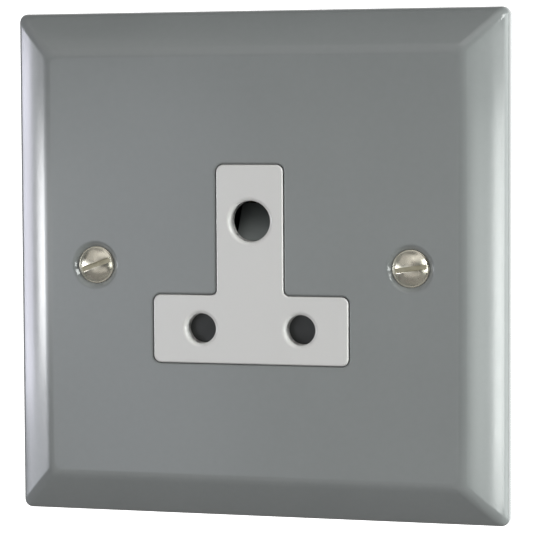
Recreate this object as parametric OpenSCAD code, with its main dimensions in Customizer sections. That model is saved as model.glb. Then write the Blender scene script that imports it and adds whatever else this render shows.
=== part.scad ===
// Round pin socket outlet with a sloping painted metal plate and a shuttered T-shaped insert.
// Millimetres. The plate faces -Y, +X is to the viewer's right and +Z is up.
// The origin is the centre of the plate's outline, in the plane of the wall.

/* [Face plate] */
// Width and height of the square plate
plate_size = 94.4; // [86:0.1:100]
// Depth from the wall to the flat front
plate_depth = 8.2; // [7:0.1:11]
// Thickness of the pressed sheet
plate_t = 1.2; // [0.8:0.1:1.5]
// Height of the straight rim that meets the wall
rim_h = 1.5; // [0.5:0.1:2.5]
// Slope of the border, measured from the flat front
slope_angle = 35; // [28:1:42]
// Radius between the rim and the slope
edge_r = 3; // [2:0.1:4]
// Radius between the slope and the flat front
crease_r = 4; // [2:0.1:6]
// Radius of the plate's corners, seen from the front
corner_r = 1.5; // [1.4:0.1:3.5]

/* [Fixing screws] */
// Distance between the two fixing screws
fixing_pitch = 60.3; // [58:0.1:62]
// Diameter of a fixing screw's shank
fixing_d = 3.5; // [3:0.1:4]
// Length of a fixing screw behind its head rim
fixing_length = 25; // [16:1:40]
// Diameter of a fixing screw's head
fixing_head_d = 7; // [6:0.1:7.6]
// Height of the head's raised dome
fixing_dome_h = 1.25; // [0.8:0.05:1.6]
// Thickness of the head's cylindrical rim
fixing_land_h = 0.25; // [0.1:0.05:0.4]
// Diameter of the pressed dimple's mouth
dimple_d = 8.6; // [8:0.1:10]
// Clearance round the shank in the plate
fixing_clearance = 0.2; // [0.1:0.05:0.4]
// Angle of the left screw's slot
left_slot_angle = 20; // [0:1:90]
// Angle of the right screw's slot
right_slot_angle = 8; // [0:1:90]

/* [Insert] */
// Height of the T-shaped insert
insert_h = 36.7; // [34:0.1:40]
// Width of its crossbar
insert_bar_w = 37.3; // [34:0.1:40]
// Height of its crossbar
insert_bar_h = 12.6; // [11:0.1:14]
// Width of its stem
insert_stem_w = 12.75; // [11.5:0.05:15]
// Distance from the lower pin holes to the insert's foot
insert_foot = 6.4; // [5.5:0.1:7]
// Radius of the insert's outer corners
insert_corner_r = 1.3; // [0.5:0.1:2]
// Radius where the stem meets the crossbar
insert_fillet_r = 1.1; // [0.5:0.1:2]
// Gap between the insert and the plate's window
insert_gap = 0.25; // [0.1:0.05:0.4]
// How far the insert stands out of the plate
insert_proud = 0.15; // [0:0.05:0.5]

/* [Pins and holes] */
// Diameter of the plug's earth pin
earth_pin_d = 7.06; // [6.8:0.02:7.3]
// Diameter of the plug's line pins
line_pin_d = 5.08; // [4.9:0.02:5.3]
// Length of the plug's earth pin
earth_pin_l = 20.6; // [19.5:0.1:21.5]
// Length of the plug's line pins
line_pin_l = 15.1; // [14:0.1:16]
// Distance between the two line pins
pin_pitch = 19.05; // [18.8:0.05:19.4]
// Height of the line pins below the plate's centre
pin_row_drop = 11.55; // [11.2:0.05:12]
// Height of the earth pin above the line pins
earth_rise = 19.9; // [19.5:0.1:20.2]
// Clearance round a pin in its hole in the insert
hole_clearance = 0.23; // [0.1:0.01:0.3]
// Clearance round a pin in its contact
contact_clearance = 0.02; // [0.01:0.01:0.04]
// Radius of the rounded mouth of each hole
lip_r = 0.8; // [0.3:0.1:1]

/* [Housing] */
// Width of the housing
housing_w = 46; // [45:0.5:48]
// Height of the housing
housing_h = 50; // [49:0.5:52]
// Thickness of the flange behind the plate
flange_t = 1.5; // [1.2:0.1:1.8]
// Thickness of the housing's walls
wall = 1.8; // [1.4:0.1:2]
// Width and height of the notch at each corner
notch = 7.5; // [7:0.1:8]
// Depth of the joint between the two halves, behind the wall's plane
split_y = 0.5; // [0:0.1:1]
// Depth of the housing behind the wall's plane
housing_depth = 18; // [17.8:0.1:21]
// Radius of the housing's corners
housing_corner_r = 1; // [0.5:0.1:1.4]
// Thickness of the walls round the contacts and terminals
chamber_wall = 1.2; // [0.9:0.1:1.3]

/* [Shutter] */
// Thickness of the shutter's plate
shutter_t = 1.6; // [1.2:0.1:1.8]
// Running gap on each side of the shutter
shutter_gap = 0.15; // [0.1:0.05:0.25]
// Width of the shutter's head and stem
shutter_head_w = 6.7; // [6:0.1:7.2]
// Depth of the ramp that the earth pin pushes
ramp_depth = 4.1; // [3.5:0.1:4.3]
// Width of each flag behind a line hole
flag_w = 7.2; // [6.6:0.1:7.6]
// How far the shutter overlaps the edge of a hole it covers
flag_overlap = 0.9; // [0.6:0.1:1]
// How far the open shutter lies clear of a pin
open_clearance = 0.12; // [0.1:0.02:0.2]
// Height of the bridge between the flags
bridge_h = 3; // [2.4:0.1:3.4]

/* [Shutter spring] */
// Diameter of the spring's wire
spring_wire_d = 0.3; // [0.25:0.05:0.4]
// Mean diameter of the coil
spring_coil_d = 3; // [2.8:0.1:3.2]
// Number of turns
spring_turns = 8; // [5:1:9]

/* [Contacts] */
// Thickness of the contact metal
contact_t = 0.8; // [0.5:0.1:0.9]
// Thickness of the spring clip round a contact
clip_t = 0.5; // [0.4:0.1:0.6]
// Length of the spring clip
clip_l = 3; // [2:0.5:3.5]
// Width of the tail that joins a contact to its terminal
tail_w = 5; // [4:0.1:5.4]
// Angle of the slit along a contact
slit_angle = 20; // [10:2:30]

/* [Terminals] */
// Width of a terminal block
block_w = 7; // [6.4:0.1:7.2]
// Height of a terminal block
block_h = 6; // [5.4:0.1:6]
// Depth of a terminal block
block_d = 8; // [7.5:0.1:8]
// Diameter of the hole for the cable
cable_d = 4; // [3:0.1:4.2]
// Diameter of a terminal screw
terminal_screw_d = 4; // [3:0.1:4]
// Diameter of a terminal screw's head
terminal_head_d = 5.8; // [5:0.1:6]
// Diameter of the spigot riveted through the tail
spigot_d = 3; // [2.5:0.1:3.2]

/* [Fasteners and strap] */
// Diameter of the studs welded to the plate
stud_d = 3; // [2.5:0.1:3]
// Distance across a nut's flats
nut_af = 5.5; // [5:0.1:5.5]
// Thickness of a nut
nut_h = 2.4; // [1.8:0.1:2.6]
// Thickness of the earth strap
strap_t = 0.8; // [0.5:0.1:0.9]
// Width of the earth strap
strap_w = 5.4; // [5:0.1:5.6]
// Diameter of the screws that join the housing
joining_d = 3; // [2.5:0.1:3]
// Diameter of those screws' heads
joining_head_d = 5.6; // [5:0.1:5.8]

/* [Hidden] */
$fn = 64;

// Small clearance between pieces that are pressed or screwed together
seat = 0.02;
// Overrun of a cutting solid past the face it cuts
over = 1;
// How far the tails reach behind the ends of the line contacts
tail_proud = 0.3;
// Radius in the inner corners of the housing's notches
notch_fillet_r = 0.25;
// Clearance between a loose piece and the pocket that holds it
pocket_gap = 0.1;

front_y = -plate_depth;
plate_back_y = front_y + plate_t;
insert_front_y = front_y - insert_proud;
flange_back_y = plate_back_y + flange_t;
back_wall_y = housing_depth - wall;
inner_h = housing_h - 2 * wall;

line_x = pin_pitch / 2;
line_z = -pin_row_drop;
earth_z = line_z + earth_rise;
insert_bottom = line_z - insert_foot;
insert_bar_top = insert_bottom + insert_bar_h;
insert_top = insert_bottom + insert_h;

earth_hole_r = earth_pin_d / 2 + hole_clearance;
line_hole_r = line_pin_d / 2 + hole_clearance;
earth_sleeve_r = earth_pin_d / 2 + contact_clearance;
line_sleeve_r = line_pin_d / 2 + contact_clearance;

// The shutter drops until the ramp's top clears the earth pin
shutter_front_y = flange_back_y + shutter_gap;
shutter_back_y = shutter_front_y + shutter_t;
ramp_foot_z = earth_z - earth_pin_d / 2 - open_clearance;
ramp_top_z = earth_z + earth_hole_r - 0.6;
ramp_top_y = shutter_front_y + ramp_depth;
ramp_back = 0.3;
shutter_travel = ramp_top_z - ramp_foot_z;
flag_top_z = line_z - line_pin_d / 2 - open_clearance + shutter_travel;
flag_bottom_z = line_z - line_hole_r - flag_overlap;
bridge_z = flag_top_z - bridge_h;
shutter_r = 0.6;

spring_seat_z = -inner_h / 2;
spring_y = shutter_back_y + 0.25;
lug_w = 4.4;
lug_back_y = spring_y + spring_coil_d / 2 + 0.4;
peg_r = (spring_coil_d - spring_wire_d) / 2 - 0.3;

guide_t = 1.2;

// Contacts, from front to back
line_contact_front_y = shutter_back_y + 2 * shutter_gap + 0.3;
line_contact_back_y = insert_front_y + line_pin_l + 0.25;
tail_y = line_contact_back_y + tail_proud - contact_t;
earth_contact_front_y = ramp_top_y + ramp_back + 2.4;
earth_contact_back_y = insert_front_y + earth_pin_l + 0.25;
line_chamber_front_y = shutter_back_y + shutter_gap;
earth_chamber_front_y = ramp_top_y + ramp_back + shutter_gap;
chamber_gap = 0.35;
line_clip_y = line_contact_front_y + 1.7;
earth_clip_y = tail_y + contact_t + 2;

block_front_y = tail_y + contact_t;
block_back_y = block_front_y + block_d;
terminal_z = inner_h / 2 - pocket_gap - block_h / 2;
cable_y = block_front_y + block_d / 2 - 0.6;
rivet_head_h = 0.6;
terminal_tip_y = cable_y + cable_d / 2 + 0.05;
terminal_head_y = block_back_y + 0.3;
terminal_head_h = 1.6;
tower_y = block_front_y + 0.6;

stud_x = housing_w / 2 - nut_af / 2 - 0.35;
stud_z = housing_h / 2 - notch / 2 - 0.55;
stud_end_y = flange_back_y + strap_t + nut_h + 1;
strap_z = inner_h / 2 - pocket_gap - strap_w / 2;
wall_out_x = housing_w / 2 - notch;
strap_leg_x = wall_out_x + 0.2;

joining_x = housing_w / 2 - wall - joining_head_d / 2 - 0.2;
joining_z = 2;
joining_post_r = joining_head_d / 2 + 0.4;
joining_head_y = back_wall_y - 1.2;
joining_tip_y = flange_back_y + 1.3;

fixing_x = fixing_pitch / 2;
fixing_hole_r = fixing_d / 2 + fixing_clearance;
head_rim_y = front_y + (dimple_d - fixing_head_d) / 2;
slot_w = 0.9;
slot_d = 1.1;

// Unit vector along v
function unit(v) = v / norm(v);

// Points of an arc about c from angle a0 to a1 in n steps
function arc(c, r, a0, a1, n) =
    [for (i = [0:n]) let (a = a0 + (a1 - a0) * i / n) c + r * [cos(a), sin(a)]];

// Outline with square corners p, each rounded by its radius in rad
function soften(p, rad, n = 4) = [
    for (i = [0:len(p) - 1])
        let (a = unit(p[(i + len(p) - 1) % len(p)] - p[i]), b = unit(p[(i + 1) % len(p)] - p[i]))
            for (k = [0:n])
                p[i] + rad[i] * ((1 - sin(90 * k / n)) * a + (1 - cos(90 * k / n)) * b)
];

// Rectangle of width w and height h with rounded corners
function rounded(w, h, r) =
    soften([[-w, -h] / 2, [w, -h] / 2, [w, h] / 2, [-w, h] / 2], [r, r, r, r]);

// T outline of the insert, grown by g
function insert_outline(g) =
    let (
        bar = insert_bar_w / 2 + g,
        stem = insert_stem_w / 2 + g,
        foot = insert_bottom - g,
        shoulder = insert_bar_top + g,
        top = insert_top + g,
        ro = insert_corner_r + g,
        ri = insert_fillet_r - g
    )
    soften(
        [
            [-bar, foot], [bar, foot], [bar, shoulder], [stem, shoulder],
            [stem, top], [-stem, top], [-stem, shoulder], [-bar, shoulder]
        ],
        [ro, ro, ro, ri, ro, ro, ri, ro]
    );

// Housing outline with a notch in each corner, shrunk by g
function housing_outline(g) =
    let (
        w = housing_w / 2 - g,
        h = housing_h / 2 - g,
        x = wall_out_x - g,
        z = housing_h / 2 - notch - g,
        r = max(housing_corner_r - g, 0.2),
        f = notch_fillet_r
    )
    soften(
        [
            [-x, -h], [x, -h], [x, -z], [w, -z], [w, z], [x, z],
            [x, h], [-x, h], [-x, z], [-w, z], [-w, -z], [-x, -z]
        ],
        [r, r, f, r, r, f, r, r, f, r, r, f]
    );

// Half section of the plate's skin, from the rim to the flat, moved in by g
function border_half(g) =
    let (
        n = [sin(slope_angle), cos(slope_angle)],
        ec = [plate_size / 2 - edge_r, rim_h],
        cy = plate_depth - crease_r,
        cx = (n * ec + edge_r - crease_r - n[1] * cy) / n[0]
    )
    concat(
        arc(ec, edge_r - g, 0, 90 - slope_angle, 5),
        arc([cx, cy], crease_r - g, 90 - slope_angle, 90, 4)
    );

// Extrudes an outline drawn in x and z between two depths
module slab(y0, y1) {
    translate([0, y1, 0]) rotate([90, 0, 0]) linear_extrude(height = y1 - y0) children();
}

// Cylinder along y between two depths
module rod(x, z, y0, y1, r) {
    translate([x, y0, z]) rotate([-90, 0, 0]) cylinder(h = y1 - y0, r = r);
}

// Cone along y between two depths
module taper(x, z, y0, y1, r0, r1) {
    translate([x, y0, z]) rotate([-90, 0, 0]) cylinder(h = y1 - y0, r1 = r0, r2 = r1);
}

// Prism of the border's section along z, moved in by g and ending at depth foot_y
module border_prism(g, foot_y) {
    right = border_half(g);
    count = len(right);
    left = [for (i = [0:count - 1]) [-right[count - 1 - i][0], right[count - 1 - i][1]]];
    ring = concat(right, left);
    foot = [[-right[0][0], -foot_y], [right[0][0], -foot_y]];
    linear_extrude(height = plate_size + 2 * over, center = true)
        polygon([for (p = concat(ring, foot)) [p[0], -p[1]]]);
}

// Cushion shape of the plate moved in by g: two crossing prisms give the mitred corners
module cushion(g, foot_y) {
    intersection() {
        border_prism(g, foot_y);
        rotate([0, 90, 0]) border_prism(g, foot_y);
        slab(front_y - over, foot_y + over)
            polygon(rounded(plate_size - 2 * g, plate_size - 2 * g, max(corner_r - g, 0.2)));
    }
}

module face_plate() {
    color([0.52, 0.54, 0.55])
    difference() {
        union() {
            difference() {
                cushion(0, 0);
                cushion(plate_t, over);
            }
            for (s = [-1, 1]) {
                // Back of the pressed dimple
                taper(s * fixing_x, 0, plate_back_y - plate_t / 2, plate_back_y + 1.4,
                      dimple_d / 2 + 0.9, fixing_hole_r + 1);
                for (t = [-1, 1])
                    rod(s * stud_x, t * stud_z, plate_back_y - plate_t / 2, stud_end_y, stud_d / 2);
            }
        }
        slab(front_y - over, plate_back_y + over) polygon(insert_outline(insert_gap));
        for (s = [-1, 1]) {
            rod(s * fixing_x, 0, front_y - over, plate_back_y + 3, fixing_hole_r);
            taper(s * fixing_x, 0, front_y - over, front_y + dimple_d / 2 - fixing_hole_r,
                  dimple_d / 2 + over, fixing_hole_r);
        }
    }
}

// Cuts a pin hole with a rounded mouth through the insert
module pin_hole(x, z, r) {
    rod(x, z, insert_front_y - over, flange_back_y + over, r);
    translate([x, insert_front_y, z]) rotate([-90, 0, 0]) rotate_extrude()
        difference() {
            translate([0, -over]) square([r + lip_r, lip_r + over]);
            translate([r + lip_r, lip_r]) circle(r = lip_r);
        }
}

module front_housing() {
    color([0.93, 0.93, 0.92])
    difference() {
        union() {
            slab(insert_front_y, flange_back_y) polygon(insert_outline(0));
            slab(plate_back_y, flange_back_y)
                polygon(rounded(housing_w, housing_h, housing_corner_r));
            // Walls behind the flange
            difference() {
                slab(flange_back_y - flange_t / 2, split_y) polygon(housing_outline(0));
                slab(flange_back_y - flange_t, split_y + over) polygon(housing_outline(wall));
            }
            // Guides for the shutter's stem, which also stop the bridge
            for (s = [-1, 1])
                translate([s * (shutter_head_w / 2 + shutter_gap + guide_t / 2), 0, 0])
                    slab(flange_back_y - flange_t / 2, shutter_back_y)
                        translate([-guide_t / 2, flag_top_z + shutter_gap])
                            square([guide_t, ramp_foot_z - 1.2 - flag_top_z]);
            // Posts for the joining screws
            for (s = [-1, 1])
                rod(s * joining_x, joining_z, flange_back_y - flange_t / 2, split_y, joining_post_r);
            // Ledges that hold the shutter and press on the terminals' rivets
            for (s = [-1, 1])
                ledge(s * line_x, -1, line_chamber_front_y, tail_y - rivet_head_h,
                      chamber_r(line_sleeve_r) - line_z);
            ledge(0, 1, flange_back_y - flange_t / 2, tail_y - strap_t - rivet_head_h,
                  chamber_r(earth_sleeve_r) + earth_z);
            // Peg for the foot of the spring
            translate([0, spring_y, spring_seat_z - wall / 2]) cylinder(h = wall / 2 + 1.3, r = peg_r);
        }
        pin_hole(0, earth_z, earth_hole_r);
        for (s = [-1, 1]) {
            pin_hole(s * line_x, line_z, line_hole_r);
            rod(s * joining_x, joining_z, joining_tip_y - 0.4, split_y + over, joining_d / 2 + seat);
            for (t = [-1, 1])
                rod(s * stud_x, t * stud_z, plate_back_y - over, flange_back_y + over,
                    stud_d / 2 + pocket_gap);
        }
    }
}

// Block from the bottom or top wall, free of the rear half's wall and of the chamber that ends at z0
module ledge(x, side, y0, y1, z0) {
    w = spigot_d + 2;
    near = max(terminal_z - spigot_d / 2, z0 + pocket_gap);
    for (part = [[y1, inner_h / 2 - pocket_gap], [split_y, inner_h / 2 + wall / 2]])
        translate([x, 0, 0]) slab(y0, part[0])
            translate([-w / 2, side > 0 ? near : -part[1]])
                square([w, part[1] - near]);
}

module rear_housing() {
    color([0.16, 0.16, 0.17])
    difference() {
        union() {
            difference() {
                slab(split_y, housing_depth) polygon(housing_outline(0));
                slab(split_y - over, back_wall_y) polygon(housing_outline(wall));
            }
            chamber(0, earth_z, earth_chamber_front_y, earth_sleeve_r);
            for (s = [-1, 1]) {
                chamber(s * line_x, line_z, line_chamber_front_y, line_sleeve_r);
                rod(s * joining_x, joining_z, split_y, housing_depth - wall / 2, joining_post_r);
            }
            tower(0, 1);
            for (s = [-1, 1])
                tower(s * line_x, -1);
        }
        bore_for_contact(0, earth_z, earth_chamber_front_y, earth_contact_back_y, earth_sleeve_r, 1);
        terminal_pocket(0, 1);
        for (s = [-1, 1]) {
            bore_for_contact(s * line_x, line_z, line_chamber_front_y, block_front_y,
                             line_sleeve_r, -1);
            terminal_pocket(s * line_x, -1);
            rod(s * joining_x, joining_z, split_y - over, housing_depth, joining_d / 2 + pocket_gap);
            rod(s * joining_x, joining_z, joining_head_y, housing_depth + over,
                joining_head_d / 2 + 0.2);
        }
        // Way out for the earth strap
        translate([-wall_out_x - over, split_y - over, strap_z - strap_w / 2 - pocket_gap])
            cube([wall + 2 * over, tail_y - split_y + over + pocket_gap, strap_w + 2 * pocket_gap]);
    }
}

// Outer radius of the chamber round a contact of inner radius r
function chamber_r(r) = r + contact_t + clip_t + chamber_gap + chamber_wall;

module chamber(x, z, y0, r) {
    rod(x, z, y0, housing_depth - wall / 2, chamber_r(r));
}

// Round pocket for a contact with a way out for its tail towards side
module bore_for_contact(x, z, y0, y1, r, side) {
    rod(x, z, y0 - over, y1, chamber_r(r) - chamber_wall);
    w = tail_w + 2 * pocket_gap;
    translate([x - w / 2, y0 - over, side > 0 ? z : z - chamber_r(r) - over])
        cube([w, block_front_y - y0 + over, chamber_r(r) + over]);
}

// Walls round a terminal block at the top or bottom of the housing
module tower(x, side) {
    w = block_w + 2 * (pocket_gap + chamber_wall);
    h = block_h + 2 * pocket_gap + chamber_wall;
    translate([x, 0, side * (inner_h / 2 - h / 2 + wall / 4)])
        slab(tower_y, housing_depth - wall / 2) square([w, h + wall / 2], center = true);
}

// Pocket for a terminal block, with openings for its cable and its screw
module terminal_pocket(x, side) {
    translate([x, 0, side * terminal_z])
        slab(tower_y - over, block_back_y)
            square([block_w + 2 * pocket_gap, block_h + 2 * pocket_gap], center = true);
    translate([x, cable_y, side > 0 ? terminal_z : -housing_h / 2 - over])
        cylinder(h = housing_h / 2 + over - terminal_z, r = cable_d / 2 + 0.6);
    rod(x, side * terminal_z, block_back_y - over, housing_depth + over, terminal_head_d / 2 + 0.2);
}

module shutter() {
    color([0.25, 0.26, 0.27])
    union() {
        slab(shutter_front_y, shutter_back_y) polygon(shutter_outline());
        // Wedge that the earth pin pushes down
        translate([-shutter_head_w / 2, 0, 0]) rotate([90, 0, 90])
            linear_extrude(height = shutter_head_w)
                polygon([
                    [shutter_front_y, ramp_foot_z - shutter_r],
                    [shutter_front_y, ramp_foot_z],
                    [ramp_top_y, ramp_top_z],
                    [ramp_top_y + ramp_back, ramp_top_z],
                    [ramp_top_y + ramp_back, ramp_foot_z],
                    [shutter_back_y, ramp_foot_z - ramp_depth]
                ]);
        // Lug and peg for the spring
        translate([-lug_w / 2, shutter_front_y, bridge_z])
            cube([lug_w, lug_back_y - shutter_front_y, bridge_h - shutter_r]);
        translate([0, spring_y, bridge_z - 1.6]) cylinder(h = 1.6 + bridge_h / 2, r = peg_r);
    }
}

// Outline of the stem, the bridge and the two flags
function shutter_outline() =
    let (
        out = line_x + flag_w / 2,
        in = line_x - flag_w / 2,
        stem = shutter_head_w / 2,
        r = shutter_r
    )
    soften(
        [
            [-out, flag_bottom_z], [-in, flag_bottom_z], [-in, bridge_z],
            [in, bridge_z], [in, flag_bottom_z], [out, flag_bottom_z],
            [out, flag_top_z], [stem, flag_top_z], [stem, ramp_foot_z],
            [-stem, ramp_foot_z], [-stem, flag_top_z], [-out, flag_top_z]
        ],
        [r, r, r, r, r, r, r, 0.1, 0.1, 0.1, 0.1, r]
    );

// Helical wire swept along its centre line, with closed end turns
module shutter_spring() {
    steps = 20;
    sides = 6;
    low = spring_seat_z + spring_wire_d / 2;
    high = bridge_z - spring_wire_d / 2;
    rings = spring_turns * steps;
    pitch = (high - low - 2 * spring_wire_d) / (spring_turns - 2);
    points = [
        for (i = [0:rings])
            let (
                t = i / steps,
                a = 360 * t,
                z = t < 1 ? low + t * spring_wire_d
                  : t > spring_turns - 1 ? high - (spring_turns - t) * spring_wire_d
                  : low + spring_wire_d + (t - 1) * pitch
            )
            for (k = [0:sides - 1])
                let (
                    b = 360 * k / sides,
                    r = spring_coil_d / 2 + spring_wire_d / 2 * cos(b)
                )
                [r * cos(a), r * sin(a), z + spring_wire_d / 2 * sin(b)]
    ];
    skin = [
        for (i = [0:rings - 1])
            for (k = [0:sides - 1])
                let (
                    p = i * sides + k,
                    q = i * sides + (k + 1) % sides
                )
                [p, q, q + sides, p + sides]
    ];
    ends = [
        [for (k = [0:sides - 1]) sides - 1 - k],
        [for (k = [0:sides - 1]) rings * sides + k]
    ];
    color([0.75, 0.75, 0.76])
        translate([0, spring_y, 0]) polyhedron(points = points, faces = concat(skin, ends), convexity = 6);
}

// Rolled sleeve about y, slit on the side away from its tail
module sleeve(x, z, y0, y1, r0, r1, slit, side) {
    translate([x, y0, z]) rotate([-90, 0, 0])
        rotate([0, 0, side * 90 + slit / 2]) rotate_extrude(angle = 360 - slit)
            translate([r0, 0]) square([r1 - r0, y1 - y0]);
}

// Contact of a pin: sleeve, and a tail that runs to the terminal on the given side
module contact(x, z, y0, y1, r, side) {
    reach = side * terminal_z - z;
    color([0.80, 0.66, 0.36])
    difference() {
        union() {
            sleeve(x, z, y0, y1, r, r + contact_t, slit_angle, side);
            translate([x, 0, 0]) slab(tail_y, tail_y + contact_t)
                polygon(tail_outline(z, side, abs(reach) + spigot_d, r));
        }
        rod(x, z, tail_y - over, tail_y + contact_t + over, r);
        rod(x, side * terminal_z, tail_y - over, tail_y + contact_t + over, spigot_d / 2 + seat);
    }
}

// Tail from inside the sleeve's wall to just past the rivet
function tail_outline(z, side, reach, r) =
    let (
        w = tail_w / 2,
        start = z + side * (r - 0.6),
        end = z + side * min(reach, abs(side * inner_h / 2 - z) - 0.3),
        low = min(start, end),
        high = max(start, end)
    )
    soften([[-w, low], [w, low], [w, high], [-w, high]], [0.5, 0.5, 0.5, 0.5]);

module earth_contact() {
    contact(0, earth_z, earth_contact_front_y, earth_contact_back_y, earth_sleeve_r, 1);
}

module live_contact() {
    contact(line_x, line_z, line_contact_front_y, line_contact_back_y, line_sleeve_r, -1);
}

module neutral_contact() {
    contact(-line_x, line_z, line_contact_front_y, line_contact_back_y, line_sleeve_r, -1);
}

// Spring clip that closes a sleeve
module contact_clip(x, z, y0, r, side) {
    color([0.70, 0.71, 0.73])
        sleeve(x, z, y0, y0 + clip_l, r + contact_t + seat, r + contact_t + clip_t,
               slit_angle + 30, side);
}

module earth_contact_clip() {
    contact_clip(0, earth_z, earth_clip_y, earth_sleeve_r, 1);
}

module live_contact_clip() {
    contact_clip(line_x, line_z, line_clip_y, line_sleeve_r, -1);
}

module neutral_contact_clip() {
    contact_clip(-line_x, line_z, line_clip_y, line_sleeve_r, -1);
}

// Brass block with a cable hole, a screw hole and a riveted spigot
module terminal(x, z, stack) {
    color([0.83, 0.70, 0.40])
    difference() {
        union() {
            translate([x, 0, z]) slab(block_front_y, block_back_y)
                polygon(rounded(block_w, block_h, 0.5));
            rod(x, z, block_front_y - stack - rivet_head_h / 2, block_front_y + over, spigot_d / 2);
            taper(x, z, block_front_y - stack - rivet_head_h, block_front_y - stack,
                  spigot_d / 2 + 0.4, spigot_d / 2 + 0.7);
        }
        translate([x, cable_y, z]) cylinder(h = block_h + 2 * over, r = cable_d / 2, center = true);
        rod(x, z, cable_y, block_back_y + over, terminal_screw_d / 2);
    }
}

module earth_terminal() {
    terminal(0, terminal_z, contact_t + strap_t);
}

module live_terminal() {
    terminal(line_x, -terminal_z, contact_t);
}

module neutral_terminal() {
    terminal(-line_x, -terminal_z, contact_t);
}

// Slotted screw that clamps the cable, backed off to leave the cable hole clear
module terminal_screw(x, z) {
    color([0.78, 0.78, 0.76])
    difference() {
        union() {
            rod(x, z, terminal_tip_y, terminal_head_y + terminal_head_h / 2,
                terminal_screw_d / 2 - 2 * seat);
            rod(x, z, terminal_head_y, terminal_head_y + terminal_head_h, terminal_head_d / 2);
        }
        translate([x, terminal_head_y + terminal_head_h, z])
            cube([terminal_head_d + over, 1.8, 1], center = true);
    }
}

module earth_terminal_screw() {
    terminal_screw(0, terminal_z);
}

module live_terminal_screw() {
    terminal_screw(line_x, -terminal_z);
}

module neutral_terminal_screw() {
    terminal_screw(-line_x, -terminal_z);
}

// Strap that bonds the plate's stud to the earth terminal
module earth_strap() {
    back = tail_y;
    front = back - strap_t;
    leg = -strap_leg_x;
    tab = flange_back_y;
    end = spigot_d / 2 + 1.5;
    lip = -housing_w / 2 + 0.1;
    color([0.82, 0.68, 0.38])
    difference() {
        translate([0, 0, strap_z - strap_w / 2])
            linear_extrude(height = strap_w)
                polygon(soften(
                    [
                        [end, front], [end, back], [leg - strap_t, back],
                        [leg - strap_t, tab + strap_t], [lip, tab + strap_t], [lip, tab],
                        [leg, tab], [leg, front]
                    ],
                    [0.2, 0.2, 1.2, 0.4, 0.2, 0.2, 1.2, 0.4]
                ));
        rod(0, terminal_z, front - over, back + over, spigot_d / 2 + seat);
        rod(-stud_x, stud_z, tab - over, tab + strap_t + over, stud_d / 2 + pocket_gap);
    }
}

// Four nuts on the plate's studs, one of them over the earth strap
module plate_nuts() {
    color([0.74, 0.75, 0.77])
    for (s = [-1, 1])
        for (t = [-1, 1]) {
            strapped = s < 0 && t > 0;
            y0 = flange_back_y + (strapped ? strap_t : 0);
            translate([s * stud_x, y0, t * stud_z]) rotate([-90, 0, 0]) difference() {
                rotate([0, 0, 30]) cylinder(h = nut_h, r = nut_af / sqrt(3), $fn = 6);
                translate([0, 0, -over]) cylinder(h = nut_h + 2 * over, r = stud_d / 2 + seat);
            }
        }
}

// Two screws that join the housing's halves
module housing_screws() {
    color([0.74, 0.75, 0.77])
    for (s = [-1, 1])
        difference() {
            union() {
                rod(s * joining_x, joining_z, joining_tip_y, joining_head_y + 1, joining_d / 2);
                rod(s * joining_x, joining_z, joining_head_y, joining_head_y + 2, joining_head_d / 2);
            }
            for (a = [0, 90])
                translate([s * joining_x, joining_head_y + 2, joining_z]) rotate([0, a, 0])
                    cube([3, 2, 0.7], center = true);
        }
}

// Slotted screw with a raised countersunk head
module fixing_screw(x, slot_angle) {
    head_r = fixing_head_d / 2;
    shank_r = fixing_d / 2;
    dome_r = (head_r * head_r + fixing_dome_h * fixing_dome_h) / (2 * fixing_dome_h);
    land_y = head_rim_y - fixing_land_h;
    color([0.78, 0.76, 0.70])
    difference() {
        union() {
            intersection() {
                translate([x, land_y - fixing_dome_h + dome_r, 0]) sphere(r = dome_r);
                rod(x, 0, land_y - fixing_dome_h - over, land_y, head_r);
            }
            rod(x, 0, land_y, head_rim_y - 2 * seat, head_r);
            taper(x, 0, head_rim_y - 2 * seat, head_rim_y - 2 * seat + head_r - shank_r, head_r, shank_r);
            rod(x, 0, head_rim_y, head_rim_y + fixing_length, shank_r);
        }
        translate([x, land_y - fixing_dome_h, 0]) rotate([0, -slot_angle, 0])
            cube([fixing_head_d + over, 2 * slot_d, slot_w], center = true);
    }
}

module fixing_screw_left() {
    fixing_screw(-fixing_x, left_slot_angle);
}

module fixing_screw_right() {
    fixing_screw(fixing_x, right_slot_angle);
}

face_plate();
front_housing();
rear_housing();
shutter();
shutter_spring();
earth_contact();
live_contact();
neutral_contact();
earth_contact_clip();
live_contact_clip();
neutral_contact_clip();
earth_terminal();
live_terminal();
neutral_terminal();
earth_terminal_screw();
live_terminal_screw();
neutral_terminal_screw();
earth_strap();
plate_nuts();
housing_screws();
fixing_screw_left();
fixing_screw_right();
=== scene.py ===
"""Looks of a round pin socket outlet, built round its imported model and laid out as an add-on.

Lengths are in metres. The plate faces -Y, +X is to the viewer's right and +Z is up.
"""

import math

import bmesh
import bpy
from bpy.props import FloatProperty, FloatVectorProperty, PointerProperty
from mathutils import Matrix, Vector
from mathutils.geometry import delaunay_2d_cdt


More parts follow.
